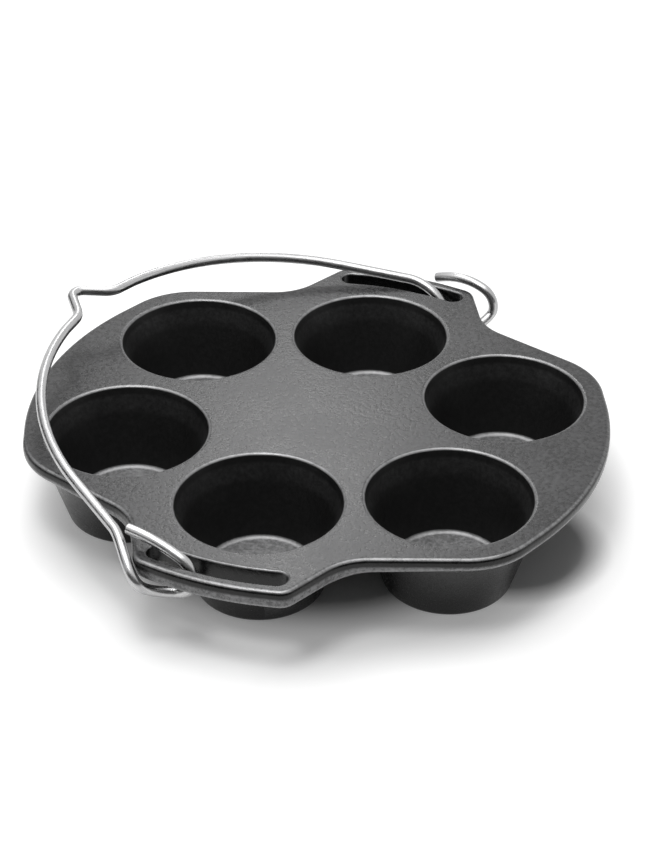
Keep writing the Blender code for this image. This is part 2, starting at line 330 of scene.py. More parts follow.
# %% Helpers for material nodes
def give(tree, socket, value):
    """Links an output to a socket, or sets the socket to a plain value."""
    if isinstance(value, bpy.types.NodeSocket):
        tree.links.new(value, socket)
    else:
        socket.default_value = value


def noise(tree, place, scale, detail, roughness=0.5):
    """A noise read at a place, mostly between 0.3 and 0.7."""
    made = node(tree, "ShaderNodeTexNoise", Scale=scale, Detail=detail, Roughness=roughness)
    tree.links.new(place, made.inputs["Vector"])
    return made.outputs["Fac"]


def spread(tree, value, low, high, to_low, to_high):
    """Maps low to high onto two new values, and holds them past either end."""
    made = tree.nodes.new("ShaderNodeMapRange")
    made.inputs["From Min"].default_value = low
    made.inputs["From Max"].default_value = high
    made.inputs["To Min"].default_value = to_low
    made.inputs["To Max"].default_value = to_high
    tree.links.new(value, made.inputs["Value"])
    return made.outputs["Result"]


def reckoned(tree, operation, *values):
    """The result of a Math node."""
    made = tree.nodes.new("ShaderNodeMath")
    made.operation = operation
    for socket, value in zip(made.inputs, values):
        give(tree, socket, value)
    return made.outputs[0]


def mixed(tree, factor, a, b, blend=None):
    """Two numbers mixed by a factor, or two colours where a way to blend them is given."""
    made = tree.nodes.new("ShaderNodeMix")
    first, result = 2, 0
    if blend:
        made.data_type = "RGBA"
        made.blend_type = blend
        first, result = 6, 2
    give(tree, made.inputs[0], factor)
    give(tree, made.inputs[first], a)
    give(tree, made.inputs[first + 1], b)
    return made.outputs[result]


def stored(tree, name):
    """A number kept on the points of the mesh."""
    made = tree.nodes.new("ShaderNodeAttribute")
    made.attribute_name = name
    return made.outputs["Fac"]


def z_of(tree, vector):
    """The Z of a vector."""
    made = tree.nodes.new("ShaderNodeSeparateXYZ")
    tree.links.new(vector, made.inputs["Vector"])
    return made.outputs["Z"]


# %% [markdown]
# ## Seasoned iron
#
# Cast iron that has been oiled and baked is nearly black, with a soft sheen, and its skin keeps
# the grain of the sand mould. The shader is partly metallic, with a wide highlight. Three noises
# do the rest: a fine one for the grain, a middle one for pits and mottling, and a slow one that
# lets the grey and the sheen drift.
#
# The colour also depends on the place, and much of that is painted light and shade. A band of
# painted shade runs round the deck's side, just below the rounded edge, with a paler painted
# reflection of the floor under it, and painted shade darkens the cups' outsides towards the foot.
# Inside the cups, the walls are painted black as shade and the floors painted grey as light, the
# slots' walls are painted black as shade, and the rubbed crowns carry a painted highlight. The
# masks come from the height, from how level a face is, and from three numbers stored on the
# mesh, which a later cell works out.

# %% Colour of the iron
IRON_SKIN = (0.044, 0.044, 0.045, 1)
# Painted shade and light inside the cups: the walls are painted black, the floors pale.
IRON_CUP_WALL_SHADE = (0.006, 0.006, 0.006, 1)
IRON_CUP_FLOOR_LIT = (0.220, 0.220, 0.223, 1)
# Wear with a painted highlight on the crowns of the rounded edges.
IRON_WORN_AND_HIGHLIT = (0.360, 0.360, 0.364, 1)
# Painted shade: the black band under the deck's edge and on the slots' walls.
IRON_PAINTED_SHADE = (0.003, 0.003, 0.003, 1)
# Painted reflection of the pale floor on the lower part of the deck's side and the cups' roots.
IRON_SIDE_REFLECTION = (0.150, 0.150, 0.152, 1)
IRON_OUTSIDE = (0.026, 0.026, 0.026, 1)
# Painted shade: the cups' outsides darken to this towards the foot.
IRON_FOOT_SHADE = (0.002, 0.002, 0.002, 1)
SHADE_BAND_ENDS = (-0.0034, -0.0046)
EDGE_ENDS = (-0.0105, -0.0135)
FOOT_SHADE_ENDS = (-0.0135, -0.0360)
LEVEL_FACE = (0.45, 0.85)
STEEP_FACE = (0.70, 0.50)
DRIFT_SWING = (0.3, 0.7)
NOISE_SWING = (0.35, 0.65)
PATCH_SWING = (0.35, 0.60)
DRIFT_SHADES = (0.80, 1.16)
MOTTLE_SHADES = (0.85, 1.15)
SPECKLE_SHADES = (0.65, 1.35)
PATCH_SHARES = (0.70, 1.0)


def side_colour(tree, height):
    """Steep faces: painted shade under the edge, a painted floor reflection below it, painted shade to
    the feet.
    """
    colour = IRON_PAINTED_SHADE
    below = (IRON_SIDE_REFLECTION, IRON_OUTSIDE, IRON_FOOT_SHADE)
    for heights, lower in zip((SHADE_BAND_ENDS, EDGE_ENDS, FOOT_SHADE_ENDS), below):
        colour = mixed(tree, spread(tree, height, *heights, 0, 1), colour, lower, "MIX")
    return colour


def iron_colour(tree, height, upward, grain, pits, drift):
    """Colour by place with painted light and shade, then drift, mottling and grain, then the rubbed
    edges with their painted highlight.
    """
    level = spread(tree, upward, *LEVEL_FACE, 0, 1)
    steep = spread(tree, reckoned(tree, "ABSOLUTE", upward), *STEEP_FACE, 0, 1)
    # Inside the cups, level floors get painted light and steep walls get painted shade.
    cup = mixed(tree, level, IRON_CUP_WALL_SHADE, IRON_CUP_FLOOR_LIT, "MIX")
    colour = mixed(tree, steep, IRON_SKIN, side_colour(tree, height), "MIX")
    # Painted shade on the walls of the slots.
    colour = mixed(tree, stored(tree, "in_slot"), colour, IRON_PAINTED_SHADE, "MIX")
    colour = mixed(tree, stored(tree, "cup_inside"), colour, cup, "MIX")
    shade = spread(tree, drift, *DRIFT_SWING, *DRIFT_SHADES)
    mottle = spread(tree, pits, *NOISE_SWING, *MOTTLE_SHADES)
    speckle = spread(tree, grain, *NOISE_SWING, *SPECKLE_SHADES)
    for value in (shade, mottle, speckle):
        colour = mixed(tree, 1.0, colour, value, "MULTIPLY")
    # The rubbed crowns also carry a painted highlight, strongest towards the front.
    patches = spread(tree, pits, *PATCH_SWING, *PATCH_SHARES)
    rubbed_and_lit = reckoned(tree, "MULTIPLY", stored(tree, "worn_edge"), patches)
    return mixed(tree, rubbed_and_lit, colour, IRON_WORN_AND_HIGHLIT, "MIX")


# %% Sheen and grain of the iron
IRON_METALLIC = 0.30
SKIN_ROUGHNESS = (0.25, 0.32)
CUP_ROUGHNESS = 0.45
PIT_ROUGHNESS = 0.02
GRAIN_ROUGHNESS = 0.04
GRAIN_HEIGHT = 0.00012
PIT_HEIGHT = 0.00010
PIT_STRENGTH = 0.3
OUTSIDE_GRAIN = 0.35
GRAIN_SCALE = 480
PIT_SCALE = 240
DRIFT_SCALE = 26


def iron_roughness(tree, grain, pits, drift):
    """A sheen that drifts and has the grain in it, and is duller inside the cups."""
    sheen = spread(tree, drift, *DRIFT_SWING, *SKIN_ROUGHNESS)
    for value, swing in ((pits, PIT_ROUGHNESS), (grain, GRAIN_ROUGHNESS)):
        sheen = reckoned(tree, "ADD", sheen, spread(tree, value, *NOISE_SWING, -swing, swing))
    return mixed(tree, stored(tree, "cup_inside"), sheen, CUP_ROUGHNESS)


def iron_bumps(tree, height, grain, pits):
    """The pits' bumps with the grain's on them, which are weaker on the cups' outsides."""
    coarse = node(tree, "ShaderNodeBump", Strength=PIT_STRENGTH, Distance=PIT_HEIGHT)
    fine = node(tree, "ShaderNodeBump", Distance=GRAIN_HEIGHT)
    outside = spread(tree, height, *EDGE_ENDS, 1.0, OUTSIDE_GRAIN)
    give(tree, fine.inputs["Strength"], mixed(tree, stored(tree, "cup_inside"), outside, 1.0))
    give(tree, fine.inputs["Height"], grain)
    give(tree, coarse.inputs["Height"], pits)
    give(tree, fine.inputs["Normal"], coarse.outputs["Normal"])
    return fine.outputs["Normal"]


def iron_material():
    """Seasoned cast iron on Object coordinates."""
    mat = bpy.data.materials.new("seasoned_iron")
    mat.use_nodes = True
    tree = mat.node_tree
    shader = tree.nodes["Principled BSDF"]
    shader.inputs["Metallic"].default_value = IRON_METALLIC
    place = tree.nodes.new("ShaderNodeTexCoord").outputs["Object"]
    normal = tree.nodes.new("ShaderNodeNewGeometry").outputs["Normal"]
    grain = noise(tree, place, GRAIN_SCALE, 3, 0.7)
    pits = noise(tree, place, PIT_SCALE, 3, 0.55)
    drift = noise(tree, place, DRIFT_SCALE, 3)
    height = z_of(tree, place)
    colour = iron_colour(tree, height, z_of(tree, normal), grain, pits, drift)
    give(tree, shader.inputs["Base Color"], colour)
    give(tree, shader.inputs["Roughness"], iron_roughness(tree, grain, pits, drift))
    give(tree, shader.inputs["Normal"], iron_bumps(tree, height, grain, pits))
    return mat


iron = iron_material()
print("iron material:", len(iron.node_tree.nodes), "nodes")

# %% [markdown]
# ## Put the six cups in place
#
# The points that carry the cups are a mesh of six loose vertices. The modifier's inputs are
# set, the evaluated result is kept as a plain mesh, and the helper objects go.

# %% Make the cups
cups = flat_object("muffin_cups", [[c] for c in CUP_CENTRES])
profile = flat_object(
    "cup_profile",
    [[(p.x - CUP_MOUTH_RADIUS, -p.y) for p in line] for line in cup_lines],
)
modifier = cups.modifiers.new("Cups", "NODES")
modifier.node_group = cup_tree(iron)
set_input(modifier, "Profile", profile)
set_input(modifier, "Sides", CUP_SIDES)
set_input(modifier, "Sweep radius", CUP_MOUTH_RADIUS)
cup_mesh = evaluated_mesh(cups, "muffin_cups")
for helper in (cups, profile):
    bpy.data.objects.remove(helper, do_unlink=True)
reach = max(abs(v.co.x) for v in cup_mesh.vertices)
depth = min(v.co.z for v in cup_mesh.vertices)
print(f"cups: {len(cup_mesh.polygons)} faces, x to {reach * 1000:.2f} mm, z to {depth * 1000:.2f} mm")

# %% [markdown]
# ## The deck
#
# The deck is two flat faces full of holes, with a rounded wall along every edge that isn't a
# cup's. The walls follow the outline at an offset for each step of the round. The flat faces
# are filled between all the loops, and the cups are then welded in, vertex on vertex.

# %% Helpers for the deck's walls and faces
FILL_TOLERANCE = 1e-7
WELD_DISTANCE = 2e-6


def outward_normals(points):
    """The outward direction at each point of a counter-clockwise outline."""
    normals = []
    for i in range(len(points)):
        along = points[(i + 1) % len(points)] - points[i - 1]
        normals.append(Vector((along.y, -along.x)).normalized())
    return normals


def clamped(share):
    """A share held between 0 and 1."""
    return min(1.0, max(0.0, share))


def ease(share):
    """0 to 1, with a level start and finish."""
    share = clamped(share)
    return share * share * (3 - 2 * share)


def lug_drop(y):
    """How far the underside of the deck lies lower at y than in the middle of the pan."""
    return LUG_THICKENING * ease((abs(y) - LUG_THICKENS_FROM) / LUG_THICKENS_OVER)


def wall(bm, points, profile_line):
    """A wall along an outline, one loop for each (outward offset, height).

    Its lower half follows the underside down at the lugs.
    """
    normals = outward_normals(points)
    loops = []
    for offset, z in profile_line:
        places = [p + n * offset for p, n in zip(points, normals)]
        drops = [lug_drop(p.y) if z < -DECK_THICKNESS / 2 else 0 for p in points]
        loops.append([bm.verts.new((p.x, p.y, z - drop)) for p, drop in zip(places, drops)])
    for upper, lower in zip(loops, loops[1:]):
        for i in range(len(points)):
            bm.faces.new((upper[i - 1], upper[i], lower[i], lower[i - 1]))
    return loops[0], loops[-1]


def edge_profile(width, top_round, bottom_round):
    """The profile over the edge of the deck, with a flat band at both of its ends."""
    line = rounded_profile([
        (width, 0, 0),
        (0, 0, top_round),
        (0, -DECK_THICKNESS, bottom_round),
        (width, -DECK_THICKNESS, 0),
    ])
    band = Vector((FLAT_BAND if width > 0 else -FLAT_BAND, 0))
    return [line[0] + band, *line, line[-1] + band]


def inside_loop(x, y, loop):
    """Whether a point lies within a closed loop of vertices."""
    within = False
    for i, vert in enumerate(loop):
        a, b = vert.co, loop[i - 1].co
        if (a.y > y) != (b.y > y) and x < a.x + (y - a.y) / (b.y - a.y) * (b.x - a.x):
            within = not within
    return within


def fill(bm, loops):
    """Fills the flat face between the outer loop, which comes first, and its holes."""
    verts = [vert for loop in loops for vert in loop]
    edges = []
    for loop in loops:
        first = len(edges)
        edges += [(first + i, first + (i + 1) % len(loop)) for i in range(len(loop))]
    points = [vert.co.to_2d() for vert in verts]
    _, _, triangles, sources, _, _ = delaunay_2d_cdt(points, edges, [], 0, FILL_TOLERANCE)
    for triangle in triangles:
        corners = [verts[sources[i][0]] for i in triangle]
        x = sum(vert.co.x for vert in corners) / 3
        y = sum(vert.co.y for vert in corners) / 3
        if inside_loop(x, y, loops[0]) and not any(inside_loop(x, y, hole) for hole in loops[1:]):
            bm.faces.new(corners)


# %% Build the deck and weld in the cups
bm = bmesh.new()
rim_line = edge_profile(-DECK_THICKNESS, TOP_EDGE_ROUND, BOTTOM_EDGE_ROUND)
slot_line = edge_profile(SLOT_WIDTH, SLOT_EDGE_ROUND, SLOT_EDGE_ROUND)
top_loops = []
under_loops = []
for points, line in [(outline, rim_line)] + [(points, slot_line) for points in slots]:
    top, under = wall(bm, points, line)
    top_loops.append(top)
    under_loops.append(under)
for centre in CUP_CENTRES:
    for radius, z, loops in (
        (mouth_loop_radius, 0, top_loops),
        (root_loop_radius, -DECK_THICKNESS, under_loops),
    ):
        ring = arc(centre, radius, 0, 2 * pi, 2 * pi / CUP_SIDES)[:-1]
        loops.append([bm.verts.new((p.x, p.y, z)) for p in ring])
fill(bm, top_loops)
fill(bm, under_loops)
deck_faces = len(bm.faces)
bm.from_mesh(cup_mesh)
bmesh.ops.remove_doubles(bm, verts=bm.verts, dist=WELD_DISTANCE)
bmesh.ops.recalc_face_normals(bm, faces=bm.faces)
open_edges = sum(1 for e in bm.edges if not e.is_manifold)
print(f"deck {deck_faces} faces, whole casting {len(bm.faces)}, open edges {open_edges}")

# %% [markdown]
# ## Where the iron gets painted shade and highlight, and where it is rubbed
#
# Three numbers from 0 to 1 are stored on every vertex for the iron's material. `cup_inside` says
# how far it is inside a cup, and `in_slot` whether it is on the wall of a slot, which is painted
# black as shade. The third says how bare the iron is rubbed there, with a painted highlight on
# top. Wear and painted highlight lie on the crowns of the rounded edges and the fillets of the
# cups' floors, most of all towards the front, and on the round under the deck's edge, most of
# all towards the front right.
#
# A crown is found by the height over its round: the wear and painted highlight are full soon
# after the start of the round and have faded out halfway down.

# %% Masks by place
# FRONT and FRONT_RIGHT are the sides where the painted highlight on the crowns is strongest.
FRONT = Vector((0.35, -0.94))
FRONT_RIGHT = Vector((0.85, -0.53))
FULL_BY = 0.8
DEEP_IN_CUP = 0.99
LEVEL_NORMAL = 1e-6
CROWN_FULL = 0.06
CROWN_ENDS = 0.50
CROWN_FADE = 0.25
CUP_WEAR_AND_HIGHLIGHT_BEHIND = 0.35
UNDER_WEAR_AND_HIGHLIGHT_BEHIND = 0.25


def from_nearest_cup(place):
    """Distance from the axis of the nearest cup."""
    return min((place.to_2d() - Vector(centre)).length for centre in CUP_CENTRES)


def cup_share(place):
    """1 on the inside of a cup below its rim, 0 on the rest of the casting."""
    inner_radius = CUP_MOUTH_RADIUS + wall_slope * place.z + CUP_WALL / 2
    below_floor = place.z < -CUP_DEPTH - CUP_FLOOR_THICKNESS / 2
    if from_nearest_cup(place) > inner_radius or below_floor:
        return 0.0
    return clamped(-place.z / (FULL_BY * CUP_RIM_ROUND))


def slot_share(place):
    """1 on the walls of the two slots, 0 on the rest of the casting."""
    reach = place.to_2d().length
    within = SLOT_OUTER_RADIUS - 2 * SLOT_WIDTH < reach < SLOT_OUTER_RADIUS + BAR_WIDTH / 2
    return float(within and abs(place.x) < LUG_HALF_WIDTH and place.z < -SLOT_EDGE_ROUND / 2)


def turned_to(normal, side, least):
    """1 on an edge whose normal points to the side given, down to the least share behind."""
    flat = normal.to_2d()
    if flat.length < LEVEL_NORMAL:
        return 1.0
    return least + (1 - least) * max(0.0, flat.normalized().dot(side))


def crown_share(place):
    """1 on the crown of a rounded edge and of a cup's floor fillet, fading out either side."""
    down = -place.z / CUP_RIM_ROUND
    if cup_share(place) > DEEP_IN_CUP:
        down = (place.z + CUP_DEPTH) / CUP_FLOOR_ROUND
    return clamped(down / CROWN_FULL) * clamped((CROWN_ENDS - down) / CROWN_FADE)


def rub_and_highlight_share(place, normal):
    """How bare the iron is rubbed, with a painted highlight: on every crown, and on the round under
    the deck's edge.
    """
    if from_nearest_cup(place) < mouth_loop_radius:
        return crown_share(place) * turned_to(normal, FRONT, CUP_WEAR_AND_HIGHLIGHT_BEHIND)
    up = (place.z + DECK_THICKNESS + lug_drop(place.y)) / BOTTOM_EDGE_ROUND
    under = max(0.0, 1 - abs(2 * up - 1)) * (1 - slot_share(place))
    top = crown_share(place) * turned_to(normal, FRONT, 0.0)
    return max(top, under * turned_to(normal, FRONT_RIGHT, UNDER_WEAR_AND_HIGHLIGHT_BEHIND))


MASKS = {
    "cup_inside": lambda vert: cup_share(vert.co),
    "worn_edge": lambda vert: rub_and_highlight_share(vert.co, vert.normal),
    "in_slot": lambda vert: slot_share(vert.co),
}


# %% [markdown]
# ## Finish the casting
#
# Everything is rounded, so the whole mesh is shaded smooth. The finished piece takes the place
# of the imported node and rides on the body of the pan.

# %% The casting as a piece
casting_mesh = bpy.data.meshes.new("muffin_pan_casting")
bm.to_mesh(casting_mesh)
bm.free()
casting_mesh.shade_smooth()
masks = {name: casting_mesh.attributes.new(name, "FLOAT", "POINT") for name in MASKS}
for i, vert in enumerate(casting_mesh.vertices):
    for name, share in MASKS.items():
        masks[name].data[i].value = share(vert)
marked = {name: sum(1 for point in mask.data if point.value > 0) for name, mask in masks.items()}
print(f"points marked, of {len(casting_mesh.vertices)}:", marked)
casting_mesh.materials.append(iron)
casting = bpy.data.objects.new("muffin_pan_casting", casting_mesh)
scene.collection.objects.link(casting)
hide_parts("pan_casting")
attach(casting, "pan")
print("casting volume is closed:", open_edges == 0)

# %% [markdown]
# ## The bail's path
#
# The bail is one wire. From a small peak in the middle it runs down a wide arch to a straight
# leg on each side, and each leg ends in a round open hook with a curling tail. The near leg
# passes outside its lug and hooks inwards through the slot, the far one hooks outwards. The
# path is drawn in the bail's own frame, X forward and Z up the arch, and then laid back.

# %% Sizes of the bail
WIRE_DIAMETER = 0.0050
HINGE_DEPTH = 0.0009
BAIL_TURN = radians(11.9)
BAIL_LEAN = radians(80.7)
ARCH_SET_IN = 0.0108
ARCH_CENTRE_HEIGHT = 0.0058
PEAK_HEIGHT = 0.0157
PEAK_HALF_WIDTH = 0.0140
PEAK_ROUND = 0.0060
PEAK_FOOT_ROUND = 0.0120
LEG_END_HEIGHT = 0.0258
LEG_SET_IN = 0.0078
LEG_BEND_PULL = 0.0090
HOOK_BEND_PULL = 0.0106

BAR_CLEARANCE = 0.0018
CHORD_SET_IN = 0.0007
HOOK_RADIUS = 0.0101
HOOK_DROP = 0.0087
HOOK_SET_BACK = 0.0060
HOOK_ENTRY = radians(61)
HOOK_BEND = radians(227)
HOOK_TAIL = 0.0286
NEAR_CROSSING = (radians(-24), radians(88))
FAR_CROSSING = (radians(75), radians(147))
NEAR_TAIL_CURL = radians(21)
FAR_TAIL_CURL = radians(45)
TAIL_CURL_POWER = 1.4

HALF_CHORD = LUG_REACH - BAR_WIDTH / 2 - CHORD_SET_IN
ARCH_RADIUS = HALF_CHORD - ARCH_SET_IN
STRAND_OFFSET = BAR_WIDTH / 2 + BAR_CLEARANCE + WIRE_DIAMETER / 2
ARCH_STEP = 0.0025
HOOK_STEP = 0.0008
BEND_STEP = radians(6)
ENTRY_PROBE = 0.001
print(f"chord between the hooks {2 * HALF_CHORD * 1000:.1f} mm")

# %% Centreline of the wire
def bezier(start, start_pull, end, end_pull, step):
    """Points along a cubic Bezier curve, without its first point."""
    count = max(2, ceil((end - start).length / step))
    points = []
    for i in range(1, count + 1):
        t = i / count
        s = 1 - t
        near = start * s**3 + (start + start_pull) * 3 * s * s * t
        far = (end - end_pull) * 3 * s * t * t + end * t**3
        points.append(near + far)
    return points


def arch_side():
    """Half of the arch in its plane, from the peak to the end of the straight leg."""
    centre = Vector((0, ARCH_CENTRE_HEIGHT))
    shoulder_angle = asin(2 * PEAK_HALF_WIDTH / ARCH_RADIUS)
    shoulder = centre + ARCH_RADIUS * Vector((sin(shoulder_angle), cos(shoulder_angle)))
    foot_angle = asin(PEAK_HALF_WIDTH / ARCH_RADIUS)
    foot = centre + ARCH_RADIUS * Vector((sin(foot_angle), cos(foot_angle)))
    peak = Vector((0, ARCH_CENTRE_HEIGHT + ARCH_RADIUS + PEAK_HEIGHT))
    crest = rounded_corner((-foot.x, foot.y), peak, foot, PEAK_ROUND, BEND_STEP)
    points = crest[len(crest) // 2:]
    points += rounded_corner(peak, foot, shoulder, PEAK_FOOT_ROUND, BEND_STEP)
    leg_end = Vector((HALF_CHORD - LEG_SET_IN, LEG_END_HEIGHT))
    reach = leg_end - centre
    leaving = atan2(reach.y, reach.x) + acos(ARCH_RADIUS / reach.length)
    start = pi / 2 - shoulder_angle
    points += arc(centre, ARCH_RADIUS, start, leaving - start, ARCH_STEP / ARCH_RADIUS)
    leg = leg_end - points[-1]
    count = ceil(leg.length / ARCH_STEP)
    points += [points[-1] + leg * i / count for i in range(1, count + 1)]
    return points, leg


def bail_side(end):
    """Centreline from the peak to the cut end on the near (-1) or far (+1) side."""
    plane, leg = arch_side()
    path = [Vector((0, end * p.x, p.y)) for p in plane]
    hook = Vector((-HOOK_SET_BACK, 0, -HOOK_DROP))
    cross_from, cross_to = NEAR_CROSSING if end < 0 else FAR_CROSSING

    def strand(angle):
        phase = HOOK_ENTRY - angle
        across = end * HALF_CHORD + STRAND_OFFSET * (
            2 * ease((angle - cross_from) / (cross_to - cross_from)) - 1
        )
        return hook + Vector((-HOOK_RADIUS * cos(phase), across, HOOK_RADIUS * sin(phase)))

    entry = strand(0)
    leg_way = Vector((0, end * leg.x, leg.y)).normalized()
    entry_way = (strand(ENTRY_PROBE) - entry).normalized()
    path += bezier(path[-1], leg_way * LEG_BEND_PULL, entry, entry_way * HOOK_BEND_PULL, HOOK_STEP)
    count = ceil(HOOK_BEND * HOOK_RADIUS / HOOK_STEP)
    path += [strand(HOOK_BEND * i / count) for i in range(1, count + 1)]
    curl = NEAR_TAIL_CURL if end < 0 else FAR_TAIL_CURL
    count = ceil(HOOK_TAIL / HOOK_STEP / 2)
    for i in range(count):
        left = 1 - (i + 0.5) / count
        phase = HOOK_ENTRY - HOOK_BEND - curl * (1 - left**TAIL_CURL_POWER)
        way = Vector((-sin(phase), 0, -cos(phase)))
        path.append(path[-1] + way * HOOK_TAIL / count)
    return path


near, far = bail_side(-1), bail_side(1)
wire_path = near[::-1] + far[1:]
wire_length = sum((b - a).length for a, b in zip(wire_path, wire_path[1:]))
print(f"wire {wire_length * 1000:.0f} mm long, {len(wire_path)} points")

# %% [markdown]
# ## Sweep the wire
#
# A round profile swept along the path gives the wire. Drawn wire has faint lines along it, and
# a pattern on Object coordinates can't follow a bend. So the nodes also store, on every point,
# how far along the wire it is and where round it, the latter as a cosine and a sine, which join
# up without a seam. The path narrows a little over the last step, as a cut end does.

# %% Geometry Nodes for the wire
WIRE_SIDES = 32
CUT_CHAMFER = 0.0004
SHARP_FROM = radians(30)


def wire_tree(steel):
    """Sweeps a round profile along the curve and stores the way along and round it."""
    tree = bpy.data.node_groups.new("bail_wire", "GeometryNodeTree")
    sockets = tree.interface
    sockets.new_socket("Path", in_out="INPUT", socket_type="NodeSocketGeometry")
    sockets.new_socket("Wire radius", in_out="INPUT", socket_type="NodeSocketFloat")
    sockets.new_socket("Sides", in_out="INPUT", socket_type="NodeSocketInt")
    sockets.new_socket("Wire", in_out="OUTPUT", socket_type="NodeSocketGeometry")
    link = tree.links.new
    given = tree.nodes.new("NodeGroupInput")
    result = tree.nodes.new("NodeGroupOutput")
    along = node(tree, "GeometryNodeSplineParameter")
    keep_along = node(tree, "GeometryNodeCaptureAttribute")
    keep_along.capture_items.new("FLOAT", "along")
    circle = node(tree, "GeometryNodeCurvePrimitiveCircle")
    around = node(tree, "GeometryNodeSplineParameter")
    keep_around = node(tree, "GeometryNodeCaptureAttribute")
    keep_around.capture_items.new("FLOAT", "around")
    sweep = node(tree, "GeometryNodeCurveToMesh")
    sweep.inputs["Fill Caps"].default_value = True
    angle = reckoned(tree, "MULTIPLY", keep_around.outputs["around"], 2 * pi)
    combine = tree.nodes.new("ShaderNodeCombineXYZ")
    store = tree.nodes.new("GeometryNodeStoreNamedAttribute")
    store.data_type = "FLOAT_VECTOR"
    store.domain = "POINT"
    store.inputs["Name"].default_value = "wire_map"
    realize = node(tree, "GeometryNodeRealizeInstances")
    paint = node(tree, "GeometryNodeSetMaterial", Material=steel)
    link(given.outputs["Path"], keep_along.inputs["Geometry"])
    link(along.outputs["Length"], keep_along.inputs["along"])
    link(given.outputs["Sides"], circle.inputs["Resolution"])
    link(given.outputs["Wire radius"], circle.inputs["Radius"])
    link(circle.outputs["Curve"], keep_around.inputs["Geometry"])
    link(around.outputs["Factor"], keep_around.inputs["around"])
    link(keep_along.outputs["Geometry"], sweep.inputs["Curve"])
    link(keep_around.outputs["Geometry"], sweep.inputs["Profile Curve"])
    link(keep_along.outputs["along"], combine.inputs["X"])
    link(reckoned(tree, "COSINE", angle), combine.inputs["Y"])
    link(reckoned(tree, "SINE", angle), combine.inputs["Z"])
    link(sweep.outputs["Mesh"], store.inputs["Geometry"])
    link(combine.outputs["Vector"], store.inputs["Value"])
    link(store.outputs["Geometry"], realize.inputs["Geometry"])
    link(realize.outputs["Geometry"], paint.inputs["Geometry"])
    link(paint.outputs["Geometry"], result.inputs["Wire"])
    return tree


# %% [markdown]
# ## Bright drawn steel
#
# The wire is bright, with fine grey lines along it from the drawing die and small dull marks
# where it has rubbed. The stored wire_map gives both: a noise that changes faster round the wire
# than along it makes the lines, and one that changes fast along it makes the marks.

# %% Material of the wire
STEEL_GREY = (0.35, 0.35, 0.355, 1)
STEEL_BRIGHT = (0.55, 0.55, 0.55, 1)
LINES_SWING = (0.32, 0.66)
MARKS_SWING = (0.35, 0.75)
STEEL_ROUGHNESS = (0.24, 0.40)
LINE_STRETCH = (22, 3, 3)
MARK_STRETCH = (160, 1, 1)
LINE_HEIGHT = 0.00004
LINE_STRENGTH = 0.12


def along_wire(tree, stretch, scale, detail):
    """A noise on the stored wire_map, squeezed or drawn out along the wire."""
    kept = tree.nodes.new("ShaderNodeAttribute")
    kept.attribute_name = "wire_map"
    squeeze = tree.nodes.new("ShaderNodeMapping")
    squeeze.inputs["Scale"].default_value = stretch
    tree.links.new(kept.outputs["Vector"], squeeze.inputs["Vector"])
    return noise(tree, squeeze.outputs["Vector"], scale, detail)


def steel_material():
    """Drawn steel wire with lines along it."""
    mat = bpy.data.materials.new("bright_steel")
    mat.use_nodes = True
    tree = mat.node_tree
    shader = tree.nodes["Principled BSDF"]
    shader.inputs["Metallic"].default_value = 1.0
    lines = along_wire(tree, LINE_STRETCH, 2.2, 4)
    marks = along_wire(tree, MARK_STRETCH, 1.4, 3)
    brightness = spread(tree, lines, *LINES_SWING, 0, 1)
    give(tree, shader.inputs["Base Color"], mixed(tree, brightness, STEEL_GREY, STEEL_BRIGHT, "MIX"))
    give(tree, shader.inputs["Roughness"], spread(tree, marks, *MARKS_SWING, *STEEL_ROUGHNESS))
    bump = node(tree, "ShaderNodeBump", Strength=LINE_STRENGTH, Distance=LINE_HEIGHT)
    give(tree, bump.inputs["Height"], lines)
    give(tree, shader.inputs["Normal"], bump.outputs["Normal"])
    return mat


steel = steel_material()
print("steel material:", len(steel.node_tree.nodes), "nodes")

# %% Make the wire and lay it back
curve = bpy.data.curves.new("bail_wire", "CURVE")
curve.dimensions = "3D"
curve.twist_mode = "MINIMUM"
spline = curve.splines.new("POLY")
first_cut = wire_path[0] + (wire_path[1] - wire_path[0]).normalized() * CUT_CHAMFER
last_cut = wire_path[-1] + (wire_path[-2] - wire_path[-1]).normalized() * CUT_CHAMFER
swept_path = [wire_path[0], first_cut, *wire_path[1:-1], last_cut, wire_path[-1]]
spline.points.add(len(swept_path) - 1)
for point, place in zip(spline.points, swept_path):
    point.co = (*place, 1)
    point.radius = 1
for point in (spline.points[0], spline.points[-1]):
    point.radius = 1 - CUT_CHAMFER / (WIRE_DIAMETER / 2)
drawn = bpy.data.objects.new("bail_path", curve)
drawn.location = (0, 0, -HINGE_DEPTH)
drawn.rotation_euler = (0, -BAIL_LEAN, -BAIL_TURN)
scene.collection.objects.link(drawn)
modifier = drawn.modifiers.new("Wire", "NODES")
modifier.node_group = wire_tree(steel)
set_input(modifier, "Wire radius", WIRE_DIAMETER / 2)
set_input(modifier, "Sides", WIRE_SIDES)
bpy.context.view_layer.update()
wire_mesh = evaluated_mesh(drawn, "bail_wire")
wire_mesh.transform(drawn.matrix_world)
bpy.data.objects.remove(drawn, do_unlink=True)

bm = bmesh.new()
bm.from_mesh(wire_mesh)
bmesh.ops.recalc_face_normals(bm, faces=bm.faces)
open_edges = sum(1 for e in bm.edges if not e.is_manifold)
bm.to_mesh(wire_mesh)
bm.free()
wire_mesh.shade_smooth()
wire_mesh.set_sharp_from_angle(angle=SHARP_FROM)
bail = bpy.data.objects.new("bail_wire", wire_mesh)
scene.collection.objects.link(bail)
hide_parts("bail_handle")
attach(bail, "bail")
print(f"bail: {len(wire_mesh.polygons)} faces, open edges {open_edges}")

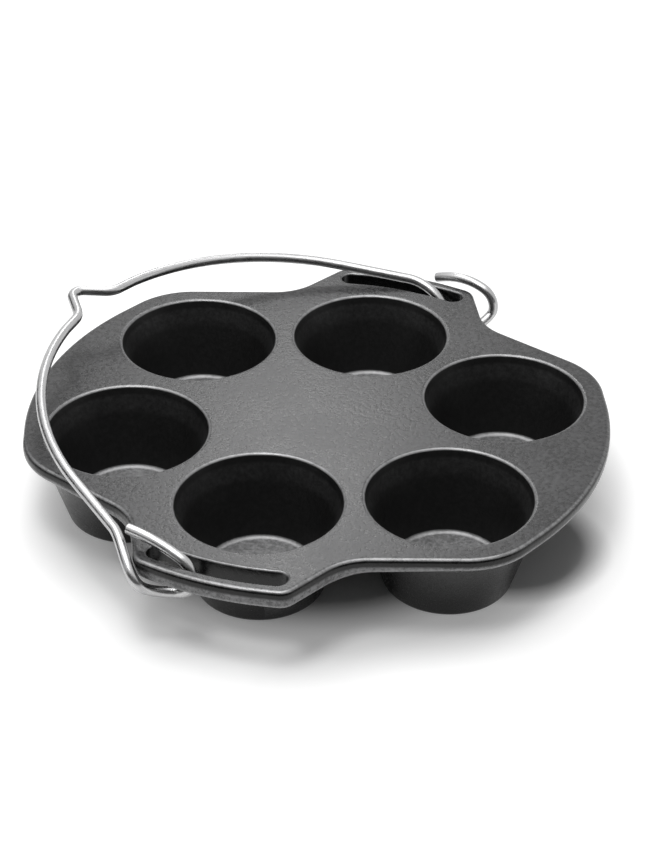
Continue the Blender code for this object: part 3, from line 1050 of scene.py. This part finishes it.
# %% [markdown]
# ## The floor
#
# The pan is photographed on white. White paint alone comes out grey, unless there is so much
# light that the iron is no longer black. So the floor's paint also glows a little, for cameras
# and reflections only, and lights nothing. The glow is off under the pan, where the shadow has
# to stay dark, and rises with the distance from the middle until the floor ends in white, so its
# steps paint the shadow's fall-off. An oval under the right-hand side is spared from it too,
# which paints the shadow deepest there.

# %% Floor
FLOOR_GAP = 0.0002
FLOOR_HEIGHT = -foot_depth - FLOOR_GAP
FLOOR_REACH = 6.0
FLOOR_PAINT = (0.86, 0.86, 0.86, 1)
WHITE = (1, 1, 1, 1)
GLOW_REACH = 1.20
# The steps of the glow paint the shadow's fall-off on the floor.
GLOW_BY_DISTANCE = (
    (0.100, 0.0), (0.120, 0.25), (0.132, 0.25), (0.157, 0.45), (0.450, 0.60), (GLOW_REACH, 1.0)
)
# Painted shadow: an oval beside the right-hand cups where the floor doesn't glow.
DEEP_SHADE = (0.094, -0.010)
DEEP_SHADE_RADII = (0.040, 0.034)
DEEP_SHADE_FADE = 1.4


def plane(name, corners, mat):
    """A flat four-cornered piece of the studio."""
    mesh = bpy.data.meshes.new(name)
    mesh.from_pydata(corners, [], [(0, 1, 2, 3)])
    mesh.materials.append(mat)
    obj = bpy.data.objects.new(name, mesh)
    scene.collection.objects.link(obj)
    return obj


def length_of(tree, vector):
    """The length of a vector."""
    made = tree.nodes.new("ShaderNodeVectorMath")
    made.operation = "LENGTH"
    tree.links.new(vector, made.inputs[0])
    return made.outputs["Value"]


def white_for_eyes(tree):
    """1 for camera, glossy and transmission rays, 0 for the rays that light the object."""
    rays = tree.nodes.new("ShaderNodeLightPath").outputs
    eyes = reckoned(tree, "MAXIMUM", rays["Is Camera Ray"], rays["Is Glossy Ray"])
    return reckoned(tree, "MAXIMUM", eyes, rays["Is Transmission Ray"])


def glow_by_distance(tree, place):
    """The floor's glow, from none under the pan to white far out."""
    made = tree.nodes.new("ShaderNodeValToRGB")
    stops = made.color_ramp.elements
    for _ in GLOW_BY_DISTANCE[2:]:
        stops.new(0.5)
    for stop, (distance, strength) in zip(stops, GLOW_BY_DISTANCE):
        stop.position = distance / GLOW_REACH
        stop.color = (strength, strength, strength, 1)
    tree.links.new(spread(tree, length_of(tree, place), 0, GLOW_REACH, 0, 1), made.inputs["Fac"])
    return made.outputs["Color"]


def outside_deep_shade(tree, place):
    """0 in the oval of deep shade, 1 outside it."""
    oval = tree.nodes.new("ShaderNodeMapping")
    for axis, (centre, radius) in enumerate(zip(DEEP_SHADE, DEEP_SHADE_RADII)):
        oval.inputs["Location"].default_value[axis] = -centre / radius
        oval.inputs["Scale"].default_value[axis] = 1 / radius
    oval.inputs["Scale"].default_value[2] = 0
    tree.links.new(place, oval.inputs["Vector"])
    return spread(tree, length_of(tree, oval.outputs["Vector"]), 1.0, DEEP_SHADE_FADE, 0, 1)


def floor_material():
    """White paint that glows for cameras and reflections only."""
    mat = bpy.data.materials.new("pale_floor")
    mat.use_nodes = True
    tree = mat.node_tree
    shader = tree.nodes["Principled BSDF"]
    shader.inputs["Base Color"].default_value = FLOOR_PAINT
    shader.inputs["Roughness"].default_value = 0.9
    shader.inputs["Specular IOR Level"].default_value = 0.1
    shader.inputs["Emission Color"].default_value = WHITE
    place = tree.nodes.new("ShaderNodeTexCoord").outputs["Object"]
    glow = glow_by_distance(tree, place)
    glow = reckoned(tree, "MULTIPLY", glow, outside_deep_shade(tree, place))
    glow = reckoned(tree, "MULTIPLY", glow, white_for_eyes(tree))
    give(tree, shader.inputs["Emission Strength"], glow)
    return mat


square = ((-1, -1), (1, -1), (1, 1), (-1, 1))
floor_corners = [(x * FLOOR_REACH, y * FLOOR_REACH, FLOOR_HEIGHT) for x, y in square]
plane("floor", floor_corners, floor_material())
print(f"floor at {FLOOR_HEIGHT * 1000:.1f} mm, {FLOOR_GAP * 1000:.1f} mm under the cups")

# %% [markdown]
# ## World and lamps
#
# The world is white to cameras and reflections, and dim to all that it lights. The light itself
# comes from three area lamps. The key is large and hangs above, a little to the left: it lights
# the deck evenly and gives the shadow its soft edge. A smaller lamp above the front picks out
# the rounded edges there, and a small one behind gives the flat deck its sheen.

# %% World and lamps
WORLD_LIGHT = 0.16
world = bpy.data.worlds.new("white_studio")
scene.world = world
world.use_nodes = True
tree = world.node_tree
background = tree.nodes["Background"]
background.inputs["Color"].default_value = WHITE
give(tree, background.inputs["Strength"], spread(tree, white_for_eyes(tree), 0, 1, WORLD_LIGHT, 1.0))


def softbox(name, place, side, power):
    """A square lamp at a place, turned to the middle of the pan."""
    data = bpy.data.lights.new(name, "AREA")
    data.shape = "RECTANGLE"
    data.size = side
    data.size_y = side
    data.energy = power
    obj = bpy.data.objects.new(name, data)
    obj.location = place
    obj.rotation_euler = (-Vector(place)).to_track_quat("-Z", "Y").to_euler()
    scene.collection.objects.link(obj)


softbox("key_softbox", (-0.16, 0.05, 1.05), 1.0, 8.2)
softbox("edge_softbox", (-0.05, -0.40, 1.10), 0.28, 2.5)
softbox("back_softbox", (-0.38, 0.95, 0.80), 0.22, 1.25)

# %% [markdown]
# ## Dark cards
#
# Bright wire in a white room has nothing to show its roundness. A photographer stands black
# cards just outside the view, and the wire mirrors them as dark lines. Here two cards stand
# on the floor, in front and on the left, leaning outwards. Only reflections see them, so they
# neither shade the pan nor show in any view.

# %% Dark cards
CARD_BLACK = (0.01, 0.01, 0.01, 1)
CARD_FOOT = -0.044
FRONT_CARD_TOP = 1.3
LEFT_CARD_TOP = 0.8
CARDS = {
    "dark_card_front": (
        (-1.29, -0.84, CARD_FOOT),
        (1.53, 0.18, CARD_FOOT),
        (1.87, -0.76, FRONT_CARD_TOP),
        (-0.95, -1.78, FRONT_CARD_TOP),
    ),
    "dark_card_left": (
        (-1.29, -0.84, CARD_FOOT),
        (-1.45, 0.80, CARD_FOOT),
        (-1.65, 0.90, LEFT_CARD_TOP),
        (-1.49, -0.94, LEFT_CARD_TOP),
    ),
}
dark = bpy.data.materials.new("dark_card")
dark.use_nodes = True
dark.node_tree.nodes["Principled BSDF"].inputs["Base Color"].default_value = CARD_BLACK
for name, corners in CARDS.items():
    card = plane(name, corners, dark)
    card.visible_camera = False
    card.visible_diffuse = False
    card.visible_shadow = False
print("cards that only reflections see:", list(CARDS))

# %% [markdown]
# ## The camera
#
# The camera stands in front of the pan, to the right of the near lug, and looks down by about
# a third of a right angle. Its place and its lens come from fitting six circles to the round
# cup mouths, so the place is written in radii of the cup.

# %% Camera
FITTED_CUP_RADIUS = 0.0385
SENSOR_WIDTH = 36
LENS = 93.3
CAMERA_PLACE = FITTED_CUP_RADIUS * Vector((8.02, -21.86, 15.22))
LOOK_AT = FITTED_CUP_RADIUS * Vector((0.218, -0.372, 0))
camera_data = bpy.data.cameras.new("camera")
camera_data.sensor_width = SENSOR_WIDTH
camera_data.lens = LENS
camera = bpy.data.objects.new("camera", camera_data)
camera.location = CAMERA_PLACE
camera.rotation_euler = (LOOK_AT - CAMERA_PLACE).to_track_quat("-Z", "Y").to_euler()
scene.collection.objects.link(camera)
scene.camera = camera
scene.view_settings.view_transform = "Standard"
print(f"camera {(CAMERA_PLACE - LOOK_AT).length:.2f} m from the pan")
